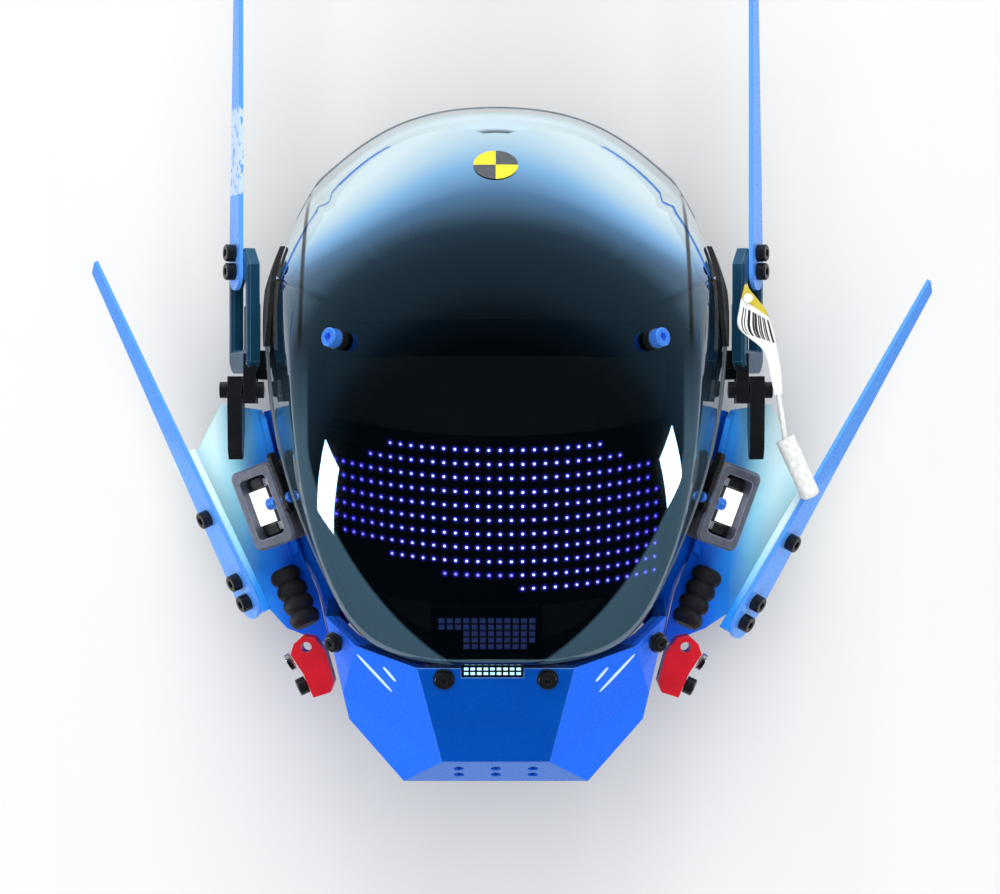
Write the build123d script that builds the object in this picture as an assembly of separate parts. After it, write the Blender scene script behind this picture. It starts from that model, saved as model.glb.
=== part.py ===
from build123d import *
import math
import os

# Illuminated full-face visor mask, lying face up on its rear rim.
# Millimetres. +Z points out of the face, +Y towards the forehead,
# +X to the right as seen from in front. Z = 0 is the surface it lies on.

# ---------------------------------------------------------------- driving dimensions
# Closed outline of the visor at its rim, right half from brow to chin.
VISOR_RIM = [(0, 163), (46, 155), (80, 132), (102, 106), (110, 72), (108.5, 28),
             (104, -4), (94, -36), (80, -66), (64, -88), (36, -97), (0, -98)]
# The same outline where the side walls lean in, 78 mm higher.
VISOR_BROW = [(0, 148), (40, 141), (66, 120), (82, 95), (88, 66), (89, 28),
              (87, -4), (82, -36), (73, -64), (59, -86), (34, -96.5), (0, -97.5)]
RIM_Z = 72.0              # height of the visor rim along the brow
BROW_Z = 150.0            # height of the second outline
DOME_CENTRE = (0, 20, 60)
DOME_AXES = (116, 160, 127)
VISOR_WALL = 3.0
RIM_TURN_Y = 20.0         # below this the rim climbs towards the chin
RIM_SLOPE = 40 / 118      # climb of the rim per millimetre towards the chin

# Rear frame outline, right half.
FRAME_OUT = [(0, 146), (58, 134), (92, 102), (101, 66), (101, 20), (95, -20),
             (84, -55), (68, -84), (44, -106), (0, -114)]
FRAME_WALL = 4.0
FRAME_BASE_Z = 4.0
SHELF_TOP_Z = 68.0
SHELF_THICK = 4.0
SHELF_WIDTH = 20.0

LED_RADIUS = 125.0        # radius of the curved LED carrier
LED_TILT = 20.0           # lean of the carrier towards the chin
LED_FRONT = (2.0, -33.0, 140.0)
LED_ROWS = 11
LED_ROW_PITCH = 6.7
LED_HALF_ANGLE = 43.0

SPACER_HEIGHT = 3.5       # black spacers under the visor screws
SCREW_HEAD_R = 4.2        # M4 socket head
SCREW_SHANK_R = 2.0
GAP = 0.3                 # clearance between neighbouring pieces

LIGHT_SIZE = (40, 26, 10)     # along the jaw, across, thick
LIGHT_CENTRE = (112.5, -29, 73)
LIGHT_TURN = 20.0             # lean of the long side outwards
LIGHT_TILT = 33.0             # lamp face turned outwards

RING_CENTRE = (122.5, 66, 60)   # side ring of the ear module
RING_TILT = 65.0
RING_SIZE = (60, 30, 6)

FIN_BASE_RIGHT = (110.5, -89.5, 64)
FIN_TIP_RIGHT = (209.5, 81.5, 60)
FIN_BASE_LEFT = (-111.5, -80.5, 64)
FIN_TIP_LEFT = (-193.5, 90.5, 60)
FIN_THICK = 2.0
FIN_WIDTH = 22.0
FIN_TIP_WIDTH = 9.0
FIN_LEAN = 60.0
ANTENNA_LENGTH = 168.0

PIN_Y = 27.5              # lever cross pin
PIN_Z = 67.5
BUTTON_R = 4.0
BUTTON_Y = 70.0
BUTTON_Z = 57.0
TRAY_SIZE = (84, 34)      # brow tray for the battery and the board
TRAY_Y = 116.0

parts = {}


# ---------------------------------------------------------------- helpers
def outline(half, grow=0.0):
    """Closed mirrored outline, moved outwards by grow from its middle."""
    pts = []
    for x, y in half:
        length = math.hypot(x, y - 30)
        pts.append((x * (1 + grow / length), 30 + (y - 30) * (1 + grow / length)))
    return list(reversed(pts)) + [(-x, y) for x, y in pts[1:-1]]


def outline_face(half, z, grow=0.0):
    return Face(Wire(Spline([(x, y, z) for x, y in outline(half, grow)], periodic=True)))


def wall_prism(grow=0.0, low=RIM_Z, high=195.0):
    """Solid inside the leaning side walls of the visor."""
    half_low = lean(low)
    half_high = lean(high)
    return Solid.make_loft([
        outline_face(half_low, low, grow).outer_wire(),
        outline_face(half_high, high, grow).outer_wire(),
    ])


def lean(z):
    """Visor outline at height z."""
    t = (z - RIM_Z) / (BROW_Z - RIM_Z)
    return [(a + (c - a) * t, b + (d - b) * t) for (a, b), (c, d) in zip(VISOR_RIM, VISOR_BROW)]


def dome(grow=0.0):
    """Ellipsoid of the lens front."""
    axes = tuple(a + grow for a in DOME_AXES)
    return Pos(*DOME_CENTRE) * scale(Sphere(1), by=axes)


def above_rim(drop=0.0):
    """Everything above the rim line, lowered by drop."""
    end = -160
    climb = (RIM_TURN_Y - end) * RIM_SLOPE
    pts = [(220, RIM_Z - drop), (RIM_TURN_Y, RIM_Z - drop), (end, RIM_Z + climb - drop),
           (end, 300), (220, 300)]
    return extrude(Plane.YZ * make_face(Polyline([*pts, pts[0]])), 160, both=True)


def lens_body(grow=0.0):
    return wall_prism(grow) & dome(grow)


def polyhedron(vertices, faces):
    """Closed solid from named vertices and faces."""
    shells = [Face(Wire.make_polygon([vertices[k] for k in f], close=True)) for f in faces]
    return Solid(Shell(shells))


def plate(points, thick, toward=(0, 0, 1)):
    """Flat plate through 3-D points; it grows away from the side it faces."""
    a, b, c = (Vector(*p) for p in points[:3])
    n = (b - a).cross(c - a).normalized()
    if n.dot(Vector(*toward)) < 0:
        n = n * -1
    flat = [Vector(*p) - n * (Vector(*p) - a).dot(n) for p in points]
    face = Face(Wire.make_polygon(flat, close=True))
    return Solid.extrude(face, n * -thick)


def socket_screw(place, head_r=SCREW_HEAD_R, head_h=4.2, shank_r=SCREW_SHANK_R, shank_l=10):
    """Socket cap screw, head outwards along the place's Z."""
    body = Cylinder(head_r, head_h, align=(Align.CENTER, Align.CENTER, Align.MIN))
    body = chamfer(body.edges().group_by(Axis.Z)[-1], 0.5)
    body += Cylinder(shank_r, shank_l, align=(Align.CENTER, Align.CENTER, Align.MAX))
    hexagon = extrude(RegularPolygon(head_r * 0.52, 6), head_h * 0.55)
    body -= Pos(0, 0, head_h * 0.45) * hexagon
    return place * body


def button_screw(place, shank_l=8):
    """Low domed socket screw."""
    body = Cylinder(4.4, 2.4, align=(Align.CENTER, Align.CENTER, Align.MIN))
    body = fillet(body.edges().group_by(Axis.Z)[-1], 1.5)
    body += Cylinder(SCREW_SHANK_R, shank_l, align=(Align.CENTER, Align.CENTER, Align.MAX))
    body -= Pos(0, 0, 1.0) * extrude(RegularPolygon(1.7, 6), 2)
    return place * body


def mirrored(shape):
    return mirror(shape, about=Plane.YZ)


def both(name, shape):
    parts[name + "_right"] = shape
    parts[name + "_left"] = mirrored(shape)


def group(*shapes):
    return Compound(children=[Solid(s.solid().wrapped) for s in shapes])


# ---------------------------------------------------------------- rear frame
def make_inner_frame():
    wall = extrude(outline_face(FRAME_OUT, FRAME_BASE_Z), SHELF_TOP_Z - FRAME_BASE_Z)
    wall -= extrude(outline_face(FRAME_OUT, 0, -FRAME_WALL), 100)
    shelf_base = SHELF_TOP_Z - SHELF_THICK
    shelf = extrude(outline_face(VISOR_RIM, shelf_base, -5), SHELF_THICK)
    shelf -= extrude(outline_face(FRAME_OUT, 0, -SHELF_WIDTH), 100)
    collar = wall_prism(-VISOR_WALL - 1, SHELF_TOP_Z, 130)
    collar -= wall_prism(-VISOR_WALL - 4, SHELF_TOP_Z - 1, 131)
    collar -= above_rim(-7)
    collar -= Pos(0, 120, 100) * Box(300, 200, 100)
    tray = Pos(0, TRAY_Y, shelf_base + SHELF_THICK / 2) * Box(*TRAY_SIZE, SHELF_THICK)
    frame = wall + shelf + collar + tray
    return frame - Pos(100, BUTTON_Y, BUTTON_Z) * Rot(0, 90, 0) * Cylinder(BUTTON_R + 0.2, 30)


def make_rear_rim():
    rim = extrude(outline_face(FRAME_OUT, 0, 1.5), FRAME_BASE_Z)
    return rim - extrude(outline_face(FRAME_OUT, 0, -FRAME_WALL - 1.5), FRAME_BASE_Z)


def make_face_foam():
    foam = extrude(outline_face(FRAME_OUT, 8, -FRAME_WALL - GAP), 42)
    return foam - extrude(outline_face(FRAME_OUT, 0, -FRAME_WALL - 13), 60)


def make_brow_hoop():
    """Arch across the forehead that carries the two visor screws."""
    ring = Ellipse(97, 106) - Ellipse(93, 102)
    ring &= Pos(0, 60) * Rectangle(220, 120)
    hoop = Plane(origin=(0, 56, 60), x_dir=(1, 0, 0), z_dir=(0, -1, 0)) * extrude(ring, 16)
    return hoop & Pos(0, 48, SHELF_TOP_Z + 100) * Box(240, 40, 200)


# ---------------------------------------------------------------- visor
def make_visor():
    shell = lens_body() - lens_body(-VISOR_WALL)
    return shell & above_rim()


def make_gasket():
    """Black edging under the lens rim, brow and sides."""
    outer = wall_prism(0.4, RIM_Z - 4, 130) & dome(0.4)
    ring = outer - wall_prism(-VISOR_WALL - 0.5, RIM_Z - 5, 131)
    band = ring & above_rim(4)
    return band - above_rim(0)


def dome_normal(x, y):
    dx = (x - DOME_CENTRE[0]) / DOME_AXES[0]
    dy = (y - DOME_CENTRE[1]) / DOME_AXES[1]
    dz = math.sqrt(1 - dx * dx - dy * dy)
    z = DOME_CENTRE[2] + DOME_AXES[2] * dz
    n = Vector(dx / DOME_AXES[0], dy / DOME_AXES[1], dz / DOME_AXES[2]).normalized()
    return Vector(x, y, z), n


def visor_screw_place(lift):
    point, n = dome_normal(68, 47)
    return Plane(origin=point + n * lift, z_dir=n)


def make_spacer():
    up = (Align.CENTER, Align.CENTER, Align.MIN)
    collar = Cylinder(4.6, SPACER_HEIGHT, align=up) - Cylinder(SCREW_SHANK_R, 20)
    return visor_screw_place(0) * collar


def make_standoff():
    down = (Align.CENTER, Align.CENTER, Align.MAX)
    post = Cylinder(4.0, 15, align=down) - Cylinder(SCREW_SHANK_R, 60)
    return visor_screw_place(-VISOR_WALL - 0.2) * post


def make_marker():
    """Quartered aiming disc stuck on the brow."""
    layer = dome(0.5) - dome(0.05)
    return layer & Pos(0, 124.5, 160) * extrude(Ellipse(9.9, 6.8), 30, both=True)


# ---------------------------------------------------------------- light matrix
def led_frame():
    t = math.radians(LED_TILT)
    axis = Vector(0, math.cos(t), math.sin(t))
    return Plane(origin=LED_FRONT, x_dir=(1, 0, 0), z_dir=axis)


def led_sector(inner, outer, half_angle, low, high):
    """Curved bar about the carrier axis; the front of the carrier is the outside."""
    def at(r, a):
        a = math.radians(a)
        return (r * math.sin(a), LED_RADIUS - r * math.cos(a))
    a = half_angle
    edge = [ThreePointArc(at(outer, -a), at(outer, 0), at(outer, a)),
            Line(at(outer, a), at(inner, a)),
            ThreePointArc(at(inner, a), at(inner, 0), at(inner, -a)),
            Line(at(inner, -a), at(outer, -a))]
    return led_frame() * Pos(0, 0, low) * extrude(make_face(edge), high - low)


def make_led_carrier():
    tall = LED_ROWS * LED_ROW_PITCH / 2 + 2
    body = led_sector(LED_RADIUS - 4, LED_RADIUS - 1.5, LED_HALF_ANGLE + 1.5, -tall - 4, tall)
    body &= wall_prism(-VISOR_WALL - 6, 60, 180)
    legs = [Pos(s * 84, 0, 88) * Box(5, 16, 40) for s in (-1, 1)]
    for leg in legs:
        body += leg - led_sector(LED_RADIUS - 2.5, LED_RADIUS + 90, 80, -90, 90)
    return body


def make_led_strips():
    rows = []
    inside = wall_prism(-VISOR_WALL - 1.5, 60, 180)
    for row in range(LED_ROWS):
        mid = (LED_ROWS - 1) / 2 * LED_ROW_PITCH - row * LED_ROW_PITCH
        half = LED_HALF_ANGLE - max(0, row - 5) * 1.6
        bar = led_sector(LED_RADIUS - 1.5, LED_RADIUS, half, mid - 1.9, mid + 1.9)
        rows.append(bar & inside)
    return group(*rows)


def mouth_place():
    n = Vector(0, -0.55, 0.835)
    return Plane(origin=(-4, -82, 137), x_dir=(1, 0, 0), z_dir=n)


# ---------------------------------------------------------------- chin guard
CHIN = {
    "a": (35.5, -99.4, 138.5), "b": (24.6, -143.5, 125), "c": (42.8, -155.3, 105),
    "d": (69.2, -128, 92), "e": (72, -116, 93), "g": (80, -79, 98), "h": (64.5, -91.5, 116),
    "cr": (43, -143, 30), "dr": (66, -118, 30), "er": (73, -104, 30), "gr": (84, -74, 30),
    "t": (0, -88, 60),
}


def chin_solid(grow=1.0, centre=(0, -90, 60)):
    v = {}
    for key, (x, y, z) in CHIN.items():
        for side in (1, -1):
            p = tuple(c + (q - c) * grow for q, c in zip((side * x, y, z), centre))
            v[key + ("+" if side > 0 else "-")] = p
    v["t-"] = v["t+"]
    half = [("a", "b", "h"), ("b", "e", "h"), ("b", "d", "e"), ("b", "c", "d"), ("h", "e", "g"),
            ("c", "cr", "dr"), ("c", "dr", "d"), ("d", "dr", "er"), ("d", "er", "e"),
            ("e", "er", "gr"), ("e", "gr", "g"), ("a", "h", "t"), ("h", "g", "t"), ("g", "gr", "t")]
    faces = [[k + s for k in f] for f in half for s in "+-"]
    faces += [["a+", "b+", "b-", "a-"], ["b+", "c+", "c-", "b-"], ["c+", "cr+", "cr-", "c-"],
              ["a+", "a-", "t+"], ["gr+", "gr-", "t+"],
              ["cr+", "dr+", "er+", "gr+", "gr-", "er-", "dr-", "cr-"]]
    return polyhedron(v, faces)


def make_chin():
    body = chin_solid()
    hollow = chin_solid(0.955)
    body -= hollow
    body -= Pos(0, 14, 0) * hollow
    body -= Pos(0, 0, -14) * hollow
    body -= Pos(0, 10, -10) * hollow
    body -= wall_prism(GAP + 0.4, 30, 190) & Pos(0, 50, 100) * Box(240, 300, 150)
    body -= Pos(-1.5, -101, 136) * Box(28, 5.4, 12)
    vent_normal = Vector(0, -20, 11.8).normalized()
    for row in (-3.6, 3.6):
        for x in (-17, 0, 17):
            middle = Vector(x, -149.4, 115) + Vector(0, -11.8, -20).normalized() * row
            body -= Plane(origin=middle, z_dir=vent_normal) * Cylinder(2.3, 16)
    return body


def chin_screw_places():
    """Two screws beside the slot and two on the jaw corners."""
    front = Vector(0, -13.5, 44.1).normalized()
    middle = Vector(0, -99.4, 138.5) + Vector(0, -44.1, -13.5).normalized() * 5.2
    side = Vector(0.62, -0.30, 0.72).normalized()
    places = []
    for s in (-1, 1):
        places.append(Plane(origin=middle + Vector(23.3 * s, 0, 0), z_dir=front))
    for s in (-1, 1):
        n = Vector(side.X * s, side.Y, side.Z)
        places.append(Plane(origin=(74.8 * s, -90.5, 106.5), z_dir=n))
    return places


# ---------------------------------------------------------------- jaw cheeks and fins
def fin_plane(base, tip, side):
    """Plane with X along the fin, Y across it outwards and down, Z out of its face."""
    along = (Vector(*tip) - Vector(*base)).normalized()
    out = along.cross(Vector(0, 0, 1)) * side
    lean_angle = math.radians(FIN_LEAN)
    normal = out * math.sin(lean_angle) + Vector(0, 0, 1) * math.cos(lean_angle)
    normal = (normal - along * normal.dot(along)).normalized()
    return Plane(origin=base, x_dir=along, z_dir=normal)


def blade(length, wide, narrow, down, thick, holes):
    """Tapered strip along X with a rounded root; its top edge lies on the X axis."""
    sign = -1 if down else 1
    r = wide / 2
    edge = [Line((r, 0), (length, 0)), Line((length, 0), (length - 3, sign * narrow)),
            Line((length - 3, sign * narrow), (r, sign * wide)),
            ThreePointArc((r, sign * wide), (0, sign * r), (r, 0))]
    body = extrude(make_face(edge), thick)
    for x, y in holes:
        body -= Pos(x, sign * y) * Cylinder(SCREW_SHANK_R, 20)
    return body


FIN_HOLES = [(9, 9), (20, 9), (54, 9)]


def fin_down(plane):
    """True where the fin's width runs along minus Y of its plane."""
    return plane.y_dir.Z > 0


def make_fin(base, tip, side):
    plane = fin_plane(base, tip, side)
    length = (Vector(*tip) - Vector(*base)).length
    return plane * blade(length, FIN_WIDTH, FIN_TIP_WIDTH, fin_down(plane), FIN_THICK, FIN_HOLES)


def fin_screw(base, tip, side, hole):
    plane = fin_plane(base, tip, side)
    sign = -1 if fin_down(plane) else 1
    place = plane * Pos(hole[0], sign * hole[1], FIN_THICK)
    return place * socket_screw(Plane.XY, head_h=4.6, shank_l=6)


PANEL_SLOPE = (-0.257, 0.262)    # fall of the panel outwards and climb towards the brow


def panel_height(start, side, x, y):
    """Height of the sloped panel at x, y; it passes through the start point."""
    return start[2] + PANEL_SLOPE[0] * side * (x - start[0]) + PANEL_SLOPE[1] * (y - start[1])


def sloped_panel(outline, start, side):
    """Panel of constant slope with upright walls."""
    raised = [(x, y, panel_height(start, side, x, y)) for x, y in outline]
    face = Face(Wire.make_polygon(raised, close=True))
    return Solid.extrude(face, Vector(0, 0, -2.6))


def make_cheek(base, tip, side):
    """Outer jaw panel with a strip under the fin's root and a wall that carries the strip."""
    plane = fin_plane(base, tip, side)
    sign = -1 if fin_down(plane) else 1
    strip = plane * Pos(44, sign * 12, -2) * Box(86, 22, 4)
    far, near = [plane.from_local_coords((t, sign * 20, -3)) for t in (80, 22)]
    start = (114 * side, 18, 62)
    outer_edge = [(134 * side, 21), (far.X, far.Y), (near.X, near.Y)]
    jaw_edge = [(104 * side, -90), (82.5 * side, -98), (88 * side, -71), (95 * side, -54)]
    panel = sloped_panel([start[:2], *outer_edge, *jaw_edge], start, side)
    foot = [(p.X, p.Y, panel_height(start, side, p.X, p.Y) - 1) for p in (near, far)]
    wall = plate([tuple(far), tuple(near), *foot], 2.4, (side, 0, 0))
    lip_edge = [(114 * side, 18, 60), (111 * side, 14, 66), (96 * side, -51, 56), (95 * side, -54, 44)]
    lip = plate(lip_edge, 2.5, (-side, 0, 1))
    return panel + wall + lip + strip


# ---------------------------------------------------------------- jaw lamps
def light_plane():
    """X along the lamp towards the brow, Y across it, Z out of its face."""
    turn = math.radians(LIGHT_TURN)
    tilt = math.radians(LIGHT_TILT)
    along = Vector(math.sin(turn), math.cos(turn), 0)
    out = Vector(math.cos(turn), -math.sin(turn), 0)
    normal = out * math.sin(tilt) + Vector(0, 0, 1) * math.cos(tilt)
    return Plane(origin=LIGHT_CENTRE, x_dir=along, z_dir=normal)


def inner_side():
    """Sign of the lamp plane's Y that points at the visor."""
    return 1 if light_plane().y_dir.X < 0 else -1


LIGHT_PIVOT_Z = -2.4      # pivot below the lamp face


def make_light_housing():
    long, wide, thick = LIGHT_SIZE
    body = extrude(RectangleRounded(long, wide, 4), -thick)
    body = chamfer(body.edges().group_by(Axis.Z)[-1], 1.2)
    body -= Pos(0, 0, 0.1) * extrude(RectangleRounded(long - 10, wide - 9, 2.5), -(thick - 2))
    side = inner_side()
    body -= Pos(0, side * wide / 2, LIGHT_PIVOT_Z) * Rot(90, 0, 0) * Cylinder(2.05, 14)
    return light_plane() * body


def make_light_core():
    """Black lamp body with its end blocks."""
    long, wide, thick = LIGHT_SIZE
    body = Pos(0, 0, -thick + 2.2) * extrude(RectangleRounded(long - 10.8, wide - 9.8, 2.4), 2.2)
    for s in (-1, 1):
        body += Pos(s * (long / 2 - 8.4), -inner_side() * 2, -thick + 5.4) * Box(4.6, 9, 2.4)
    return light_plane() * body


def make_light_panel():
    long, wide, thick = LIGHT_SIZE
    return light_plane() * Pos(0, -inner_side() * 2.6, -thick + 5.6) * Box(17, 9, 2.4)


def make_light_arm():
    """Thin upright arm beside the lamp with a foot on the frame shelf."""
    long, wide, thick = LIGHT_SIZE
    side = inner_side()
    bar = extrude(RectangleRounded(30, 5, 2.4), 2.4)
    bar = Pos(8, side * (wide / 2 + GAP), LIGHT_PIVOT_Z) * Rot(-90 * side, 0, 0) * bar
    bar = light_plane() * bar
    post = Pos(93.9, -29, 73.2) * Rot(0, 0, -20) * Box(1.8, 9, 10.8)
    head = Pos(95.4, -29.4, 77.4) * Rot(0, 0, -20) * Box(4.6, 9, 2.6)
    return bar + post + head


def make_light_pivot():
    """Blue shoulder screw through the lamp's inner wall and the arm."""
    wide = LIGHT_SIZE[1]
    side = inner_side()
    body = Cylinder(3.0, 5, align=(Align.CENTER, Align.CENTER, Align.MIN))
    body -= Pos(0, 0, 2.6) * extrude(RegularPolygon(1.8, 6), 3)
    body += Cylinder(2.0, 9.2, align=(Align.CENTER, Align.CENTER, Align.MAX))
    body += Pos(0, 0, -7.6) * Cylinder(2.6, 1.6, align=(Align.CENTER, Align.CENTER, Align.MAX))
    return light_plane() * Pos(0, side * (wide / 2 - 4.5 - GAP), LIGHT_PIVOT_Z) * Rot(90 * side, 0, 0) * body


# ---------------------------------------------------------------- ear modules
def ring_plane():
    """X towards the brow, Y across, Z outwards from the side of the head."""
    tilt = math.radians(RING_TILT)
    normal = Vector(math.sin(tilt), 0, math.cos(tilt))
    return Plane(origin=RING_CENTRE, x_dir=(0, 1, 0), z_dir=normal)


def make_side_ring():
    long, wide, thick = RING_SIZE
    h, w = long / 2, wide / 2
    outer = Polygon([(-h, -w + 4), (-h + 5, -w), (h - 9, -w), (h, -w + 8), (h, w - 7),
                     (h - 8, w), (-h + 5, w), (-h, w - 5)], align=None)
    window = Polygon([(-h + 11, -w + 5), (h - 18, -w + 5), (h - 14, -w + 9), (h - 14, w - 9),
                      (h - 18, w - 5), (-h + 11, w - 5)], align=None)
    body = extrude(outer - window, thick / 2, both=True)
    return ring_plane() * chamfer(body.edges().group_by(Axis.Z)[-1], 1.2)


def make_ring_plate():
    return ring_plane() * Pos(-9, 0, -RING_SIZE[2] / 2 - 1.2) * Box(24, 19, 2.0)


def make_hinge_block():
    """Block from the frame wall to the ring, with the lever's fixed arm."""
    root = Pos(108, 40, 50) * Box(16, 14, 16)
    arm = Pos(118.5, 33, PIN_Z - 1) * Box(6, 24, 11)
    neck = Pos(113.5, 42, 55) * Box(10, 8, 14)
    body = root + neck + arm
    return body - Pos(120, PIN_Y, PIN_Z) * Rot(0, 90, 0) * Cylinder(2.55, 40)


def make_lever():
    """Pointed lever that swings on the cross pin."""
    pts = [(34, -5), (34, 5), (24, 6), (-1, 4), (-6, 0), (-4, -3), (10, -7), (24, -7)]
    side = Plane.YZ * make_face(Polyline([*pts, pts[0]]))
    body = Pos(122, 0, PIN_Z) * extrude(side, 7)
    return body - Pos(126, PIN_Y, PIN_Z) * Rot(0, 90, 0) * Cylinder(2.55, 30)


def make_lever_pin():
    low = (Align.CENTER, Align.CENTER, Align.MIN)
    pin = Cylinder(2.5, 17, align=low) + Pos(0, 0, -3.2) * Cylinder(4, 3, align=low)
    pin += Pos(0, 0, -0.2) * Cylinder(2.5, 1, align=low)
    pin += Pos(0, 0, 14.4) * Cylinder(4, 3.4, align=low)
    return Pos(115.3, PIN_Y, PIN_Z) * Rot(0, 90, 0) * pin


def make_temple_pad():
    """Leaf-shaped black pad on the visor's side wall."""
    layer = lens_body(2.6) - lens_body(0.2)
    pts = [(95, 88), (78, 93), (60, 90), (48, 82), (48, 77), (66, 77), (82, 80)]
    leaf = Plane.YZ * make_face(Polyline([*pts, pts[0]]))
    return (layer & extrude(leaf, 150)).solids()[0]


def make_antenna():
    plane = ring_plane()
    sign = -1 if plane.y_dir.Z > 0 else 1
    offset = -sign * 8
    start = Pos(10, offset, RING_SIZE[2] / 2)
    holes = [(9, 8), (18, 8)]
    return plane * start * blade(ANTENNA_LENGTH, 16, 8, sign < 0, FIN_THICK, holes)


def antenna_screw(x):
    body = socket_screw(Plane.XY, head_h=4.6, shank_l=6)
    return ring_plane() * Pos(10 + x, 0, RING_SIZE[2] / 2 + FIN_THICK) * body


# ---------------------------------------------------------------- jaw brackets and conduits
def make_bracket():
    pts = [(96.5, -94), (92, -90), (86.5, -91), (81, -98), (77.2, -112), (79, -117),
           (87, -119.5), (92, -108), (98, -99)]
    body = Pos(0, 0, 66) * extrude(make_face(Polyline([*pts, pts[0]])), 14)
    body -= Pos(90.5, -95.5, 75) * Cylinder(2.5, 30)
    body -= bracket_side() * Pos(0, 0, -4) * Cylinder(SCREW_SHANK_R, 22)
    body -= Pos(93, -110, 73) * Rot(0, 0, -62) * Box(9, 4, 4)
    return body


def bracket_side():
    n = Vector(0.86, -0.40, 0.18).normalized()
    return Plane(origin=(90.5, -113.5, 73), z_dir=n)


def bracket_ring_place():
    return Plane(origin=(97.2, -102.2, 73), z_dir=(0.86, -0.5, 0))


def make_bracket_ring():
    ring = Cylinder(4.2, 2.2, align=(Align.CENTER, Align.CENTER, Align.MIN)) - Cylinder(1.6, 20)
    return bracket_ring_place() * Pos(0, 0, 0.6) * ring


def make_conduit():
    """Short bellows hose with four lobes."""
    length, big, small = 30.0, 7.6, 5.6
    lobes = 4
    step = length / lobes
    edge = [Line((0, 0), (small, 0))]
    for k in range(lobes):
        edge.append(ThreePointArc((small, k * step), (big, (k + 0.5) * step), (small, (k + 1) * step)))
    edge += [Line((small, length), (0, length)), Line((0, length), (0, 0))]
    body = revolve(Plane.XZ * make_face(edge), Axis.Z)
    bottom = Vector(91.5, -86.5, 60)
    top = Vector(104, -60.5, 54.5)
    return Plane(origin=bottom, z_dir=(top - bottom)) * body


# ---------------------------------------------------------------- hang tag (right side)
TAG_PIN_PLACE = (119.3, 70.5)
TAG_PIN_R = 1.2


def make_tag_pin():
    """Headed pin that stands on the side ring and carries the tag."""
    low = (Align.CENTER, Align.CENTER, Align.MIN)
    x, y = TAG_PIN_PLACE
    stem = Pos(x, y, 70.5) * Cylinder(TAG_PIN_R, 17.5, align=low)
    return stem + Pos(x, y, 86.6) * Cylinder(2.2, 1.2, align=low)


def make_tag_label():
    upper = plate([(118.5, 79, 85), (129.5, 66, 81), (132, 50, 78), (124, 45, 81), (114.5, 57, 86)], 1.0)
    lower = plate([(132, 50, 78), (137.5, 30, 73), (133.5, 24.5, 74.5), (124, 45, 81)], 1.0)
    eyelet = Pos(*TAG_PIN_PLACE, 84) * Cylinder(TAG_PIN_R + 0.2, 10)
    return upper + lower - eyelet


TAG_STRAP = [(135.2, 25.6, 75), (137, 16, 73), (138.8, 4, 72)]


def make_tag_strap():
    path = FilletPolyline(*TAG_STRAP, radius=20)
    ring = Plane(origin=path @ 0, z_dir=path % 0) * Circle(1.3)
    return sweep(ring, path)


def make_tag_barrel():
    start = Vector(*TAG_STRAP[-1])
    n = Vector(12.4, -27.4, 0).normalized()
    body = Cylinder(4.7, 31, align=(Align.CENTER, Align.CENTER, Align.MIN))
    body = fillet(body.edges().group_by(Axis.Z)[-1], 2.5)
    return Plane(origin=start, z_dir=n) * body


# ---------------------------------------------------------------- electronics and straps
def make_power_button():
    body = Cylinder(BUTTON_R, 12, align=(Align.CENTER, Align.CENTER, Align.MIN))
    flange = Cylinder(BUTTON_R + 1.5, 1.5, align=(Align.CENTER, Align.CENTER, Align.MIN))
    body = fillet(body.edges().group_by(Axis.Z)[-1], 0.8) + flange
    return Plane(origin=(91.8, BUTTON_Y, BUTTON_Z), z_dir=(1, 0, 0)) * body


def make_strap_anchor():
    body = Box(5, 34, 14) - Pos(1, 0, 1) * Box(3.2, 26, 20)
    return Pos(103.2, 8, 22) * body


# ---------------------------------------------------------------- build
parts["inner_frame"] = make_inner_frame()
parts["rear_rim"] = make_rear_rim()
parts["face_foam"] = make_face_foam()
parts["brow_hoop"] = make_brow_hoop()
parts["visor_lens"] = make_visor()
parts["visor_gasket"] = make_gasket()
visor_screw = socket_screw(visor_screw_place(SPACER_HEIGHT), head_h=5, shank_l=18)
parts["visor_screws"] = group(visor_screw, mirrored(visor_screw))
spacer = make_spacer()
standoff = make_standoff()
parts["visor_spacers"] = group(spacer, mirrored(spacer), standoff, mirrored(standoff))
parts["target_marker"] = make_marker()
parts["led_carrier"] = make_led_carrier()
parts["led_strips"] = make_led_strips()
parts["mouth_matrix"] = mouth_place() * Box(50, 27, 1.6)
parts["mouth_strip"] = Pos(-1.5, -101, 134.6) * Box(26.6, 4.2, 3)
parts["chin_guard"] = make_chin()
screws = [button_screw(p * Pos(0, 0, 1)) for p in chin_screw_places()]
parts["chin_screws"] = group(*screws)
washer = Cylinder(4.9, 1, align=(Align.CENTER, Align.CENTER, Align.MIN)) - Cylinder(SCREW_SHANK_R, 9)
parts["chin_washers"] = group(*[p * washer for p in chin_screw_places()])

parts["controller_board"] = Pos(0, TRAY_Y, SHELF_TOP_Z + 1.5) * Box(62, 26, 3)
parts["battery_pack"] = Pos(0, TRAY_Y - 2, SHELF_TOP_Z - SHELF_THICK - 4.5) * Box(64, 26, 9)
parts["power_button"] = make_power_button()
anchor = make_strap_anchor()
parts["strap_anchors"] = group(anchor, mirrored(anchor))

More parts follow.
